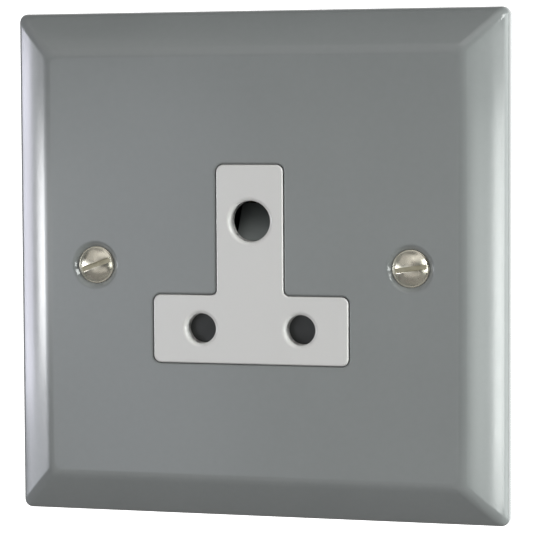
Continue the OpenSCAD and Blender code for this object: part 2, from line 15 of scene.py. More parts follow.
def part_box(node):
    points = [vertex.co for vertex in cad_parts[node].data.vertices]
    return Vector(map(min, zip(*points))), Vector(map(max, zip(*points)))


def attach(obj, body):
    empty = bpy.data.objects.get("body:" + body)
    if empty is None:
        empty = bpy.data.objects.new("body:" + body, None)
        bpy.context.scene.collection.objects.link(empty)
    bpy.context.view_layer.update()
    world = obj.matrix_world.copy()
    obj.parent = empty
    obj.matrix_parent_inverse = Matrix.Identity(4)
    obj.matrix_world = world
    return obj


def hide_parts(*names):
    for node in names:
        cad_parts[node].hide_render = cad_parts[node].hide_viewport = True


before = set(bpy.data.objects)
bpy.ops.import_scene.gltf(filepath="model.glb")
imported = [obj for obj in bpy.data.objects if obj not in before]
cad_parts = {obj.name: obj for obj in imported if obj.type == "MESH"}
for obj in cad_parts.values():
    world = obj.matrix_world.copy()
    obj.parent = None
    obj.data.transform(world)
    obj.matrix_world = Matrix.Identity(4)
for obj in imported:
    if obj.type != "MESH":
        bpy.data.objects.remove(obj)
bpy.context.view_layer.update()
PLATE_LOW, PLATE_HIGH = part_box("face_plate")
HOUSING_LOW, HOUSING_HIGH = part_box("front_housing")
SCREW_LOW, SCREW_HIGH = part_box("fixing_screw_right")
NUTS_LOW, NUTS_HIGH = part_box("plate_nuts")
SHUTTER_LOW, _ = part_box("shutter")

bl_info = {
    "name": "Round Pin Socket Outlet",
    "version": (1, 0, 0),
    "blender": (4, 5, 0),
    "location": "3D View > Sidebar > Outlet",
    "description": "Dresses the packed model of a round pin socket outlet and sets up its studio",
    "category": "Object",
}

MM = 0.001
SMOOTH_ANGLE = math.radians(32)
# Heights of the band where painted light brightens the shutter's ramp towards its foot.
RAMP_LIGHT_HIGH, RAMP_LIGHT_LOW, RAMP_LIGHT_END = 0.018, 0.003, -0.003


# ---------------------------------------------------------------- sizes and colours


def length(name, description, millimetres):
    """A length that a user may change."""
    return FloatProperty(
        name=name,
        description=description,
        default=millimetres * MM,
        min=0.0,
        precision=5,
        subtype="DISTANCE",
        unit="LENGTH",
    )


def colour(name, description, default):
    """A finish's colour that a user may change."""
    return FloatVectorProperty(
        name=name, description=description, default=default, min=0.0, max=1.0, size=3, subtype="COLOR"
    )


class PlateSizes(bpy.types.PropertyGroup):
    """Sizes of the pressed metal plate."""

    width: length("Width", "Width and height of the plate", (PLATE_HIGH.x - PLATE_LOW.x) / MM)
    depth: length("Depth", "From the wall to the flat front", -PLATE_LOW.y / MM)
    sheet: length("Sheet", "Thickness of the pressed sheet", 1.2)
    rim: length("Rim", "Height of the straight rim at the wall", 1.5)
    slope: FloatProperty(
        name="Slope",
        description="Angle between the border and the flat front",
        default=math.radians(35),
        subtype="ANGLE",
        unit="ROTATION",
    )
    slope_bow: FloatProperty(
        name="Slope bow",
        description="How far the slope's angle turns to either side as it crowns",
        default=math.radians(5),
        subtype="ANGLE",
        unit="ROTATION",
    )
    edge_radius: length("Edge radius", "Radius between the rim and the slope", 3.0)
    crease_radius: length("Crease radius", "Radius between the slope and the flat front", 4.0)
    corner_radius: length("Corner radius", "Radius of the corners, seen from the front", 1.5)
    window_edge: length("Window edge", "Radius of the stamped edge round the insert", 0.4)
    dimple_mouth: length("Dimple mouth", "Diameter of the pressed seat of a fixing screw", 8.6)
    dimple_lip: length("Dimple lip", "Radius of the lip round that seat", 0.8)


class InsertSizes(bpy.types.PropertyGroup):
    """Sizes of the T-shaped insert."""

    bar_half: length("Half bar", "Half the width of the crossbar", 18.65)
    stem_half: length("Half stem", "Half the width of the stem", 6.375)
    foot: length("Foot", "From the plate's centre down to the insert's foot", 17.95)
    shoulder: length("Shoulder", "From the plate's centre down to the crossbar's top", 5.35)
    top: length("Top", "From the plate's centre up to the insert's top", 18.75)
    outer_radius: length("Outer corners", "Radius of the outer corners", 1.3)
    inner_radius: length("Inner corners", "Radius where stem and crossbar meet", 1.1)
    gap: length("Gap", "Gap between the insert and the plate's window", 0.14)
    edge: length("Edge", "Radius of the insert's front edge", 0.3)
    lip: length("Lip", "Radius of the rounded mouth of each hole", 0.8)
    relief: length("Relief", "How far each hole widens behind its mouth", 0.35)
    flange_gap: length("Flange gap", "From the housing's flange to the shutter", 0.15)
    earth_hole: length("Earth hole", "Radius of the earth pin's hole", 3.76)
    line_hole: length("Line hole", "Radius of a line pin's hole", 2.77)
    earth_z: length("Earth height", "From the plate's centre up to the earth hole", 8.35)
    line_x: length("Line offset", "From the middle to a line hole", 9.525)
    line_z: length("Line drop", "From the plate's centre down to the line holes", 11.55)


class FastenerSizes(bpy.types.PropertyGroup):
    """Sizes of the screws, studs and nuts."""

    fixing_x: length("Fixing offset", "From the middle to a fixing screw", (SCREW_LOW.x + SCREW_HIGH.x) / 2 / MM)
    head: length("Fixing head", "Diameter of a fixing screw's head", 7.0)
    dome: length("Dome", "Height of the head's raised dome", 1.245)
    land: length("Land", "Height of the straight rim under the dome", 0.25)
    shoulder: length("Shoulder", "Radius between the dome and the rim", 0.3)
    shank: length("Fixing shank", "Diameter of a fixing screw's thread", 3.5)
    thread_pitch: length("Thread pitch", "Pitch of the fixing screws' thread", 0.6)
    slot_width: length("Slot width", "Width of the screwdriver slot", 0.9)
    slot_depth: length("Slot depth", "Depth of the screwdriver slot", 1.1)
    left_slot: FloatProperty(
        name="Left slot",
        description="How far the left screw's slot rises to the right",
        default=math.radians(20),
        subtype="ANGLE",
        unit="ROTATION",
    )
    right_slot: FloatProperty(
        name="Right slot",
        description="How far the right screw's slot rises to the right",
        default=math.radians(8),
        subtype="ANGLE",
        unit="ROTATION",
    )
    stud: length("Stud", "Diameter of the studs on the plate's back", 3.0)
    stud_pitch: length("Stud pitch", "Pitch of the studs' thread", 0.5)
    nut_flats: length("Nut flats", "Distance across a nut's flats", 5.5)
    nut_height: length("Nut height", "Thickness of a nut", 2.4)


class FinishColours(bpy.types.PropertyGroup):
    """Colours of the finishes."""

    enamel: colour("Enamel", "Paint of the plate", (0.240, 0.252, 0.251))
    moulding: colour("White moulding", "Plastic of the insert and the front housing", (0.704, 0.692, 0.679))
    dark: colour("Dark moulding", "Plastic of the rear housing", (0.028, 0.029, 0.031))
    shutter: colour("Shutter", "Plastic of the shutter", (0.028, 0.030, 0.030))
    # The ramp colour is painted light, standing for light that falls through the earth hole onto the shutter's ramp.
    ramp: colour("Ramp", "Plastic of the shutter where the earth pin rubs it", (0.235, 0.26, 0.255))
    nickel: colour("Nickel", "Plating of the fixing screws", (0.76, 0.72, 0.61))
    # The slot colour is painted shade on the floor of each screwdriver slot.
    slot: colour("Slot", "Tarnished floor of the fixing screws' slots", (0.46, 0.425, 0.32))
    zinc: colour("Zinc", "Plating of the nuts, studs and small screws", (0.66, 0.69, 0.72))
    spring: colour("Spring steel", "Steel of the spring and the clips", (0.50, 0.50, 0.52))
    brass: colour("Brass", "Metal of the contacts, terminals and strap", (0.78, 0.58, 0.27))


class StudioSettings(bpy.types.PropertyGroup):
    """Camera and light of the studio."""

    focal_length: FloatProperty(
        name="Focal length", description="Focal length of the camera in millimetres", default=166.03, unit="CAMERA"
    )
    azimuth: FloatProperty(
        name="Azimuth",
        description="How far the camera stands to the right",
        default=math.radians(16.22),
        subtype="ANGLE",
        unit="ROTATION",
    )
    elevation: FloatProperty(
        name="Elevation",
        description="How far the camera stands above the plate's centre",
        default=math.radians(3.56),
        subtype="ANGLE",
        unit="ROTATION",
    )
    roll: FloatProperty(
        name="Roll", description="Roll of the camera", default=math.radians(-0.285), subtype="ANGLE", unit="ROTATION"
    )
    distance: length("Distance", "From the camera to the point it looks at", 459.2)
    target: FloatVectorProperty(
        name="Target",
        description="Point that the camera looks at",
        default=(0.000831, 0.0, -0.000418),
        size=3,
        subtype="TRANSLATION",
        unit="LENGTH",
    )
    ambient: FloatProperty(name="Ambient", description="Strength of the room's even light", default=0.05, min=0.0)
    backdrop: FloatProperty(name="Backdrop", description="Strength of the lit backdrop", default=1.1, min=0.0)


# ---------------------------------------------------------------- outlines


def soften(corners, radii, steps=8):
    """Closed outline through right-angled corners, each rounded by its radius."""
    points = []
    for i, corner in enumerate(corners):
        here = Vector(corner)
        back = (Vector(corners[i - 1]) - here).normalized()
        ahead = (Vector(corners[(i + 1) % len(corners)]) - here).normalized()
        for k in range(steps + 1):
            a = math.pi / 2 * k / steps
            points.append(here + radii[i] * ((1 - math.sin(a)) * back + (1 - math.cos(a)) * ahead))
    return points


def insert_outline(sizes, grow=0.0):
    """T outline of the insert as x and z, grown all round."""
    bar, stem = sizes.bar_half + grow, sizes.stem_half + grow
    foot, shoulder, top = -sizes.foot - grow, -sizes.shoulder + grow, sizes.top + grow
    outer, inner = sizes.outer_radius + grow, sizes.inner_radius - grow
    return soften(
        [(-bar, foot), (bar, foot), (bar, shoulder), (stem, shoulder),
         (stem, top), (-stem, top), (-stem, shoulder), (-bar, shoulder)],
        [outer, outer, outer, inner, outer, outer, inner, outer],
    )


def square_outline(half, radius, steps=10):
    """Square with rounded corners as x and z, with a point on each side close to each corner."""
    round_points = soften(
        [(-half, -half), (half, -half), (half, half), (-half, half)], [radius] * 4, steps
    )
    points = []
    for corner in range(4):
        arc = round_points[corner * (steps + 1):(corner + 1) * (steps + 1)]
        before = round_points[corner * (steps + 1) - 1]
        after = round_points[(corner + 1) * (steps + 1) % len(round_points)]
        near = 2.0 * MM
        points.append(arc[0] + (before - arc[0]).normalized() * near)
        points.extend(arc)
        points.append(arc[-1] + (after - arc[-1]).normalized() * near)
    return points


def circle_outline(x, z, radius, count=72):
    """Circle as x and z."""
    return [
        Vector((x + radius * math.cos(2 * math.pi * k / count), z + radius * math.sin(2 * math.pi * k / count)))
        for k in range(count)
    ]


def inside(point, outline):
    """Whether a point lies inside a closed outline."""
    x, z = point
    odd = False
    for i, a in enumerate(outline):
        b = outline[i - 1]
        if (a[1] > z) != (b[1] > z) and x < (b[0] - a[0]) * (z - a[1]) / (b[1] - a[1]) + a[0]:
            odd = not odd
    return odd


# ---------------------------------------------------------------- meshes


def ring(bm, outline, y):
    """Vertices of an outline at depth y."""
    return [bm.verts.new((p[0], y, p[1])) for p in outline]


def skin(bm, rings):
    """Faces between neighbouring rings that have the same number of vertices."""
    for a, b in zip(rings, rings[1:]):
        for i in range(len(a)):
            j = (i + 1) % len(a)
            bm.faces.new((a[i], a[j], b[j], b[i]))


def fill(bm, outer, holes=()):
    """Flat faces between an outer ring and the rings of its holes."""
    rings = [outer, *holes]
    verts = [v for r in rings for v in r]
    coords = [Vector((v.co.x, v.co.z)) for v in verts]
    edges, start = [], 0
    for r in rings:
        edges += [(start + i, start + (i + 1) % len(r)) for i in range(len(r))]
        start += len(r)
    _, _, faces, originals, _, _ = delaunay_2d_cdt(coords, edges, [], 0, 1e-9)
    outlines = [[(v.co.x, v.co.z) for v in r] for r in rings]
    for face in faces:
        corners = [originals[i][0] for i in face]
        middle = sum((coords[c] for c in corners), Vector((0.0, 0.0))) / len(corners)
        if inside(middle, outlines[0]) and not any(inside(middle, o) for o in outlines[1:]):
            bm.faces.new([verts[c] for c in corners])


def lathe(bm, profile, x=0.0, z=0.0, count=64):
    """Closed solid turned about an axis along y from radius and depth pairs that start and end on the axis."""
    first = bm.verts.new((x, profile[0][1], z))
    last = bm.verts.new((x, profile[-1][1], z))
    rings = [ring(bm, circle_outline(x, z, r, count), y) for r, y in profile[1:-1]]
    skin(bm, rings)
    for i in range(count):
        j = (i + 1) % count
        bm.faces.new((rings[0][j], rings[0][i], first))
        bm.faces.new((rings[-1][i], rings[-1][j], last))


def thread(bm, x, z, y0, y1, radius, pitch, count=24, rows=6):
    """Closed threaded rod along y with a chamfered far end."""
    depth = 0.55 * pitch
    steps = int(round((y1 - y0) / pitch * rows))
    rings = []
    for k in range(steps + 1):
        y = y0 + (y1 - y0) * k / steps
        limit = radius - max(0.0, y - (y1 - 0.8 * pitch))
        points = []
        for i in range(count):
            turn = i / count
            phase = ((y - y0) / pitch - turn) % 1.0
            r = min(radius - depth * (1 - abs(2 * phase - 1)), limit)
            points.append((x + r * math.cos(2 * math.pi * turn), z + r * math.sin(2 * math.pi * turn)))
        rings.append(ring(bm, points, y))
    skin(bm, rings)
    bm.faces.new(list(reversed(rings[0])))
    bm.faces.new(rings[-1])


def make_object(name, bm):
    """Object of a finished bmesh with its faces turned outwards."""
    bmesh.ops.recalc_face_normals(bm, faces=bm.faces)
    mesh = bpy.data.meshes.new(name)
    bm.to_mesh(mesh)
    bm.free()
    obj = bpy.data.objects.new(name, mesh)
    bpy.context.scene.collection.objects.link(obj)
    return obj


def settle(obj):
    """Applies an object's modifiers to its mesh."""
    graph = bpy.context.evaluated_depsgraph_get()
    mesh = bpy.data.meshes.new_from_object(obj.evaluated_get(graph))
    obj.modifiers.clear()
    old, obj.data = obj.data, mesh
    mesh.name = obj.name
    bpy.data.meshes.remove(old)
    return obj


def cut(obj, cutter):
    """Cuts another closed solid out of an object and removes it."""
    change = obj.modifiers.new("cut", "BOOLEAN")
    change.operation, change.solver, change.object = "DIFFERENCE", "EXACT", cutter
    settle(obj)
    bpy.data.objects.remove(cutter)
    return obj


def smooth(obj, bevel=0.0, angle=SMOOTH_ANGLE):
    """Rounds sharp edges by a small bevel and shades the rest smoothly."""
    if bevel:
        edges = obj.modifiers.new("edges", "BEVEL")
        edges.width, edges.segments, edges.limit_method, edges.angle_limit = bevel, 2, "ANGLE", angle
        settle(obj)
    obj.data.shade_smooth()
    obj.data.set_sharp_from_angle(angle=angle)
    weights = obj.modifiers.new("normals", "WEIGHTED_NORMAL")
    weights.keep_sharp = True
    weights.weight = 100
    return settle(obj)


def merge(obj, *others):
    """Joins meshes into one object."""
    bm = bmesh.new()
    for part in (obj, *others):
        bm.from_mesh(part.data)
    bm.to_mesh(obj.data)
    bm.free()
    for part in others:
        bpy.data.objects.remove(part)
    return obj


def copy_node(node, name, joined=False):
    """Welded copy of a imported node's mesh, with the triangles of its flat faces joined if asked."""
    bm = bmesh.new()
    bm.from_mesh(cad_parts[node].data)
    bmesh.ops.remove_doubles(bm, verts=bm.verts, dist=1e-7)
    if joined:
        bmesh.ops.dissolve_limit(bm, angle_limit=math.radians(0.5), verts=bm.verts, edges=bm.edges)
    return make_object(name, bm)


def keep_behind(obj, depth):
    """Leaves only what lies behind a depth, and closes the cut."""
    bm = bmesh.new()
    bm.from_mesh(obj.data)
    found = bmesh.ops.bisect_plane(
        bm, geom=[*bm.verts, *bm.edges, *bm.faces], dist=1e-7, plane_co=(0, depth, 0), plane_no=(0, 1, 0),
        clear_inner=True,
    )
    rim = [e for e in found["geom_cut"] if isinstance(e, bmesh.types.BMEdge)]
    bmesh.ops.triangle_fill(bm, edges=rim, use_beauty=True, use_dissolve=False)
    bm.to_mesh(obj.data)
    bm.free()
    return obj


def finish_piece(obj, material, body="socket", nodes=()):
    """Gives a piece its finish and ties it to its body and the nodes that it stands for."""
    obj.data.materials.clear()
    obj.data.materials.append(material)
    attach(obj, body)
    if nodes:
        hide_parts(*nodes)
    return obj


# ---------------------------------------------------------------- finishes


class Value:
    """A node's output that takes part in sums as a number does."""

    def __init__(self, finish, socket):
        self.finish, self.socket = finish, socket

    def _maths(self, operation, a, b):
        return self.finish.node("ShaderNodeMath", {"operation": operation}, {0: a, 1: b})

    def __add__(self, other):
        return self._maths("ADD", self, other)

    __radd__ = __add__

    def __mul__(self, other):
        return self._maths("MULTIPLY", self, other)

    __rmul__ = __mul__

    def __sub__(self, other):
        return self._maths("SUBTRACT", self, other)

    def __rsub__(self, other):
        return self._maths("SUBTRACT", other, self)

    def __abs__(self):
        return self._maths("ABSOLUTE", self, 0.0)


class Finish:
    """A material with one main shader, whose other nodes are added by type, settings and inputs."""

    def __init__(self, name, roughness, metallic=0.0, ior=1.5, specular=0.5):
        self.material = bpy.data.materials.new(name)
        self.material.use_nodes = True
        self.tree = self.material.node_tree
        self.shader = self.tree.nodes["Principled BSDF"]
        for socket, value in (
            ("Roughness", roughness), ("Metallic", metallic), ("IOR", ior), ("Specular IOR Level", specular)
        ):
            self.shader.inputs[socket].default_value = value

    def node(self, kind, settings=None, inputs=None, output=0):
        """Adds a node with its settings and input values or links, and returns one of its outputs."""
        made = self.tree.nodes.new(kind)
        for key, value in (settings or {}).items():
            if key == "stops":
                ramp = made.color_ramp
                while len(ramp.elements) < len(value):
                    ramp.elements.new(0.5)
                for element, (position, shade) in zip(ramp.elements, value):
                    element.position, element.color = position, (*shade, 1.0)
            else:
                setattr(made, key, value)
        for key, value in (inputs or {}).items():
            self.give(made.inputs[key], value)
        return Value(self, made.outputs[output])

    def give(self, socket, value):
        """Links or sets an input."""
        if isinstance(value, Value):
            self.tree.links.new(value.socket, socket)
        else:
            socket.default_value = value

    def feed(self, socket, value):
        """Links or sets an input of the main shader."""
        self.give(self.shader.inputs[socket], value)

    def place(self):
        """Position on the object in metres."""
        return self.node("ShaderNodeTexCoord", output="Object")

    def along(self, axis):
        """Position along one axis of the object in metres."""
        split = self.node("ShaderNodeSeparateXYZ", inputs={0: self.place()})
        return Value(self, split.socket.node.outputs[axis])

    def noise(self, size, detail=2.0, place=None, distortion=0.0):
        """Noise whose features have about the given size in metres."""
        return self.node(
            "ShaderNodeTexNoise",
            inputs={
                "Vector": place or self.place(), "Scale": 1 / size, "Detail": detail, "Distortion": distortion
            },
        )

    def spread(self, value, low, high, to_low=0.0, to_high=1.0):
        """Maps a range of a value to another range."""
        return self.node(
            "ShaderNodeMapRange",
            inputs={"Value": value, "From Min": low, "From Max": high, "To Min": to_low, "To Max": to_high},
        )

    def blend(self, factor, first, second):
        """Mix of two colours."""
        made = self.tree.nodes.new("ShaderNodeMix")
        made.data_type = "RGBA"
        sockets = [s for s in made.inputs if s.enabled]
        for socket, value in zip(sockets, (factor, first, second)):
            self.give(socket, (*value, 1.0) if isinstance(value, tuple) else value)
        return Value(self, [s for s in made.outputs if s.enabled][0])

    def bump(self, height, distance, strength=1.0, below=None):
        """Raises the surface by a height between 0 and 1 times a distance in metres."""
        inputs = {"Height": height, "Distance": distance, "Strength": strength}
        if below is not None:
            inputs["Normal"] = below
        return self.node("ShaderNodeBump", inputs=inputs, output="Normal")


def shade(rgb, factor):
    """A colour made lighter or darker."""
    return tuple(min(1.0, c * factor) for c in rgb)


def enamel_finish(colours):
    """Glossy stoved enamel with a faint orange peel."""
    finish = Finish("enamel_grey", roughness=0.16, ior=1.5)
    base = tuple(colours.enamel)
    broad = finish.noise(0.022, detail=3.0)
    fine = finish.noise(0.0011, detail=2.0)
    mixed = finish.spread(broad * 0.7 + fine * 0.3, 0.3, 0.7)
    finish.feed("Base Color", finish.blend(mixed, shade(base, 0.965), shade(base, 1.035)))
    finish.feed("Roughness", finish.spread(fine * 0.5 + broad * 0.5, 0.3, 0.7, 0.13, 0.20))
    waves = finish.bump(finish.noise(0.016, detail=1.0), 0.00003)
    peel = finish.bump(finish.noise(0.0017, detail=1.0), 0.0000022, below=waves)
    finish.feed("Normal", peel)
    return finish.material


def moulding_finish(name, base, size, roughness, contrast=0.03, grain=0.0000015):
    """Moulded plastic with faint flow marks and a fine grain."""
    finish = Finish(name, roughness=roughness, ior=1.48)
    flow = finish.noise(size, detail=3.0, distortion=0.6)
    grain_noise = finish.noise(0.00035, detail=2.0)
    mixed = finish.spread(flow * 0.6 + grain_noise * 0.4, 0.3, 0.7)
    finish.feed("Base Color", finish.blend(mixed, shade(base, 1 - contrast), shade(base, 1 + contrast)))
    finish.feed("Roughness", finish.spread(flow, 0.3, 0.7, roughness - 0.05, roughness + 0.07))
    finish.feed("Normal", finish.bump(grain_noise, grain))
    return finish.material


def shutter_finish(colours):
    """Dark moulding with painted light on its ramp: the colour grows lighter towards the ramp's foot, where light
    falls into the earth hole.
    """
    finish = Finish("moulding_shutter", roughness=0.36, ior=1.48)
    dark, ramp_painted_light = tuple(colours.shutter), tuple(colours.ramp)
    haze = finish.noise(0.004, detail=3.0, distortion=0.6)
    # Mask of the painted light on the ramp, strongest near its foot.
    ramp = finish.spread(finish.along("Z"), RAMP_LIGHT_HIGH, RAMP_LIGHT_LOW) * finish.spread(finish.along("Z"), RAMP_LIGHT_END, RAMP_LIGHT_LOW)
    base = finish.blend(ramp, dark, ramp_painted_light)
    finish.feed("Base Color", finish.blend(finish.spread(haze, 0.3, 0.7, 0.0, 0.12), base, shade(dark, 1.3)))
    finish.feed("Roughness", finish.spread(haze, 0.3, 0.7, 0.32, 0.44))
    finish.feed("Normal", finish.bump(haze, 0.00001))
    return finish.material


def metal_finish(name, base, dull, size, roughness, rough_spread=0.1, scratch=0.0000012, stretch=(1.0, 1.0, 1.0)):
    """Metal with patches of a duller tone and fine drawn marks."""
    finish = Finish(name, roughness=roughness, metallic=1.0)
    place = finish.node(
        "ShaderNodeMapping", inputs={"Vector": finish.place(), "Scale": stretch}
    )
    patches = finish.noise(size, detail=4.0, distortion=0.4)
    marks = finish.noise(0.0003, detail=2.0, place=place)
    mixed = finish.spread(patches * 0.75 + marks * 0.25, 0.35, 0.68)
    finish.feed("Base Color", finish.blend(mixed, base, dull))
    finish.feed("Roughness", finish.spread(patches, 0.3, 0.7, roughness, roughness + rough_spread))
    finish.feed("Normal", finish.bump(marks, scratch))
    return finish.material


def nickel_finish(colours, fixing_x, slot_floor, slot_reach):
    """Polished nickel with fine turning marks about each fixing screw, and painted shade on the floor of its slot:
    darker, yellower and duller there.
    """
    finish = Finish("nickel_polished", roughness=0.1, metallic=1.0)
    base = tuple(colours.nickel)
    across = abs(finish.along("X")) - fixing_x
    centred = finish.node("ShaderNodeCombineXYZ", inputs={"X": across, "Z": finish.along("Z")})
    radius = finish.node("ShaderNodeVectorMath", {"operation": "LENGTH"}, {0: centred}, output="Value")
    # Painted shade on the slot's floor: a darker colour there, plus more roughness.
    floor = finish.spread(finish.along("Y"), slot_floor - 0.06 * MM, slot_floor - 0.03 * MM)
    slot = floor * finish.spread(radius, slot_reach, slot_reach - 0.1 * MM)
    rings = finish.node(
        "ShaderNodeTexWave",
        {"wave_type": "RINGS", "rings_direction": "SPHERICAL", "wave_profile": "SIN"},
        {"Vector": centred, "Scale": 1500.0, "Distortion": 1.5, "Detail": 2.0, "Detail Scale": 2.0},
        output="Fac",
    )
    smudges = finish.noise(0.0016, detail=3.0)
    plated = finish.blend(finish.spread(smudges, 0.3, 0.75), base, shade(base, 0.86))
    finish.feed("Base Color", finish.blend(slot, plated, tuple(colours.slot)))
    finish.feed("Roughness", finish.spread(smudges, 0.3, 0.7, 0.20, 0.36) + slot * 0.2)
    finish.feed("Normal", finish.bump(rings, 0.0000015, below=finish.bump(smudges, 0.00005)))
    return finish.material


def finishes():
    """All materials by name, made once."""
    made = {}
    colours, fasteners = bpy.context.scene.outlet_colours, bpy.context.scene.outlet_fasteners
    makers = {
        "enamel": lambda: enamel_finish(colours),
        "white": lambda: moulding_finish("moulding_white", tuple(colours.moulding), 0.014, 0.20, 0.012),
        "dark": lambda: moulding_finish("moulding_dark", tuple(colours.dark), 0.008, 0.42, 0.22, 0.000004),
        "shutter": lambda: shutter_finish(colours),
        "nickel": lambda: nickel_finish(
            colours, fasteners.fixing_x, SCREW_LOW.y + fasteners.slot_depth, fasteners.head / 2 - 0.5 * MM
        ),
        "zinc": lambda: metal_finish(
            "zinc_plate", tuple(colours.zinc), shade(tuple(colours.zinc), 0.72), 0.0022, 0.24, 0.16
        ),
        "spring": lambda: metal_finish(
            "spring_steel", tuple(colours.spring), shade(tuple(colours.spring), 0.7), 0.0012, 0.26,
            stretch=(1.0, 1.0, 0.2),
        ),
        "brass": lambda: metal_finish(
            "contact_brass", tuple(colours.brass), shade(tuple(colours.brass), 0.66), 0.003, 0.24,
            stretch=(1.0, 0.15, 1.0),
        ),
        "brass_block": lambda: metal_finish(
            "terminal_brass", shade(tuple(colours.brass), 1.04), shade(tuple(colours.brass), 0.74), 0.002, 0.20,
            stretch=(1.0, 1.0, 0.12),
        ),
    }
    for key, make in makers.items():
        known = bpy.data.materials.get("outlet_" + key)
        if known is None:
            known = make()
            known.name = "outlet_" + key
        made[key] = known
    return made


# ---------------------------------------------------------------- pieces


def border_profile(sizes, inward=0.0):
    """Half width and depth of the plate's skin from the rim to the flat, moved in by the sheet's thickness."""
    steep, shallow = sizes.slope + sizes.slope_bow, sizes.slope - sizes.slope_bow
    edge = Vector((sizes.width / 2 - sizes.edge_radius, sizes.rim))
    slope_start = edge + sizes.edge_radius * Vector((math.sin(steep), math.cos(steep)))
    crease_y = sizes.depth - sizes.crease_radius
    chord = (crease_y + sizes.crease_radius * math.cos(shallow) - slope_start[1]) / math.sin(sizes.slope)
    bow_radius = chord / (2 * math.sin(sizes.slope_bow))
    bow = slope_start - bow_radius * Vector((math.sin(steep), math.cos(steep)))
    slope_end = bow + bow_radius * Vector((math.sin(shallow), math.cos(shallow)))
    crease = slope_end - sizes.crease_radius * Vector((math.sin(shallow), math.cos(shallow)))
    points = []
    for centre, radius, start, stop, steps in (
        (edge, sizes.edge_radius, math.pi / 2, steep, 12),
        (bow, bow_radius, steep, shallow, 8),
        (crease, sizes.crease_radius, shallow, 0.0, 10),
    ):
        for k in range(steps if start == steep or stop == steep else steps + 1):
            a = start + (stop - start) * k / steps
            points.append(centre + (radius - inward) * Vector((math.sin(a), math.cos(a))))
    return points


def dimple_profile(sizes, hole):
    """Radius and depth of the seat of a fixing screw, from the flat front to the hole."""
    mouth, front = sizes.dimple_mouth / 2, -sizes.depth
    reach = sizes.dimple_lip * math.tan(math.pi / 8)
    points = [
        (mouth + reach - sizes.dimple_lip * math.sin(a), front + sizes.dimple_lip * (1 - math.cos(a)))
        for a in (math.pi / 4 * k / 6 for k in range(7))
    ]
    return points + [(hole + 0.15 * MM, front + mouth - hole - 0.15 * MM), (hole, front + mouth - hole + 0.1 * MM)]


def build_plate():
    """The pressed plate with its sloping border, T-shaped window and two screw seats."""
    sizes, insert = bpy.context.scene.outlet_plate, bpy.context.scene.outlet_insert
    fasteners = bpy.context.scene.outlet_fasteners
    hole, back = fasteners.shank / 2 + 0.2 * MM, -sizes.depth + sizes.sheet
    bm = bmesh.new()
    front_rings = [ring(bm, square_outline(sizes.width / 2, sizes.corner_radius), 0.0)]
    for half, depth in border_profile(sizes):
        front_rings.append(ring(bm, square_outline(half, sizes.corner_radius), -depth))
    back_radius = max(sizes.corner_radius - sizes.sheet, 0.2 * MM)
    back_rings = [ring(bm, square_outline(sizes.width / 2 - sizes.sheet, back_radius), 0.0)]
    for half, depth in border_profile(sizes, sizes.sheet):
        back_rings.append(ring(bm, square_outline(half, back_radius), -depth))
    skin(bm, front_rings)
    skin(bm, back_rings)
    skin(bm, [front_rings[0], back_rings[0]])
    window = []
    for k in range(5):
        a = math.pi / 2 * k / 4
        grow = insert.gap + sizes.window_edge * (1 - math.sin(a))
        window.append(ring(bm, insert_outline(insert, grow), -sizes.depth + sizes.window_edge * (1 - math.cos(a))))
    window.append(ring(bm, insert_outline(insert, insert.gap), back))
    skin(bm, window)
    front_holes, back_holes = [window[0]], [window[-1]]
    for side in (-1, 1):
        x = side * fasteners.fixing_x
        seat = [ring(bm, circle_outline(x, 0.0, r), y) for r, y in dimple_profile(sizes, hole)]
        outer = sizes.dimple_mouth / 2 + 0.9 * MM - 0.65 * MM
        bell = [
            (outer + 0.5 * MM, back), (outer + 0.15 * MM, back + 0.12 * MM), (outer - 0.1 * MM, back + 0.4 * MM),
            (hole + 1.05 * MM, back + 1.4 * MM), (hole + 0.9 * MM, back + 1.4 * MM), (hole, back + 1.4 * MM),
        ]
        boss = [ring(bm, circle_outline(x, 0.0, r), y) for r, y in bell]
        skin(bm, seat)
        skin(bm, boss)
        skin(bm, [seat[-1], boss[-1]])
        front_holes.append(seat[0])
        back_holes.append(boss[0])
    fill(bm, front_rings[-1], front_holes)
    fill(bm, back_rings[-1], back_holes)
    plate = smooth(make_object("plate_pressing", bm))
    finish_piece(plate, finishes()["enamel"], nodes=("face_plate",))
    bm = bmesh.new()
    stud_x, stud_z, _ = stud_place()
    for sx in (-1, 1):
        for sz in (-1, 1):
            thread(
                bm, sx * stud_x, sz * stud_z, back - 0.2 * MM, PLATE_HIGH_STUD,
                fasteners.stud / 2, fasteners.stud_pitch, count=24,
            )
    studs = smooth(make_object("plate_studs", bm), angle=math.radians(50))
    finish_piece(studs, finishes()["zinc"])


def stud_place():
    """Offsets of the studs from the middle, and the depth of the plain nuts' front."""
    flats = bpy.context.scene.outlet_fasteners.nut_flats
    reach = flats / math.sqrt(3)
    return NUTS_HIGH.x - max(flats / 2, reach * math.cos(math.radians(30))), NUTS_HIGH.z - reach, NUTS_LOW.y


PLATE_HIGH_STUD = -0.0013


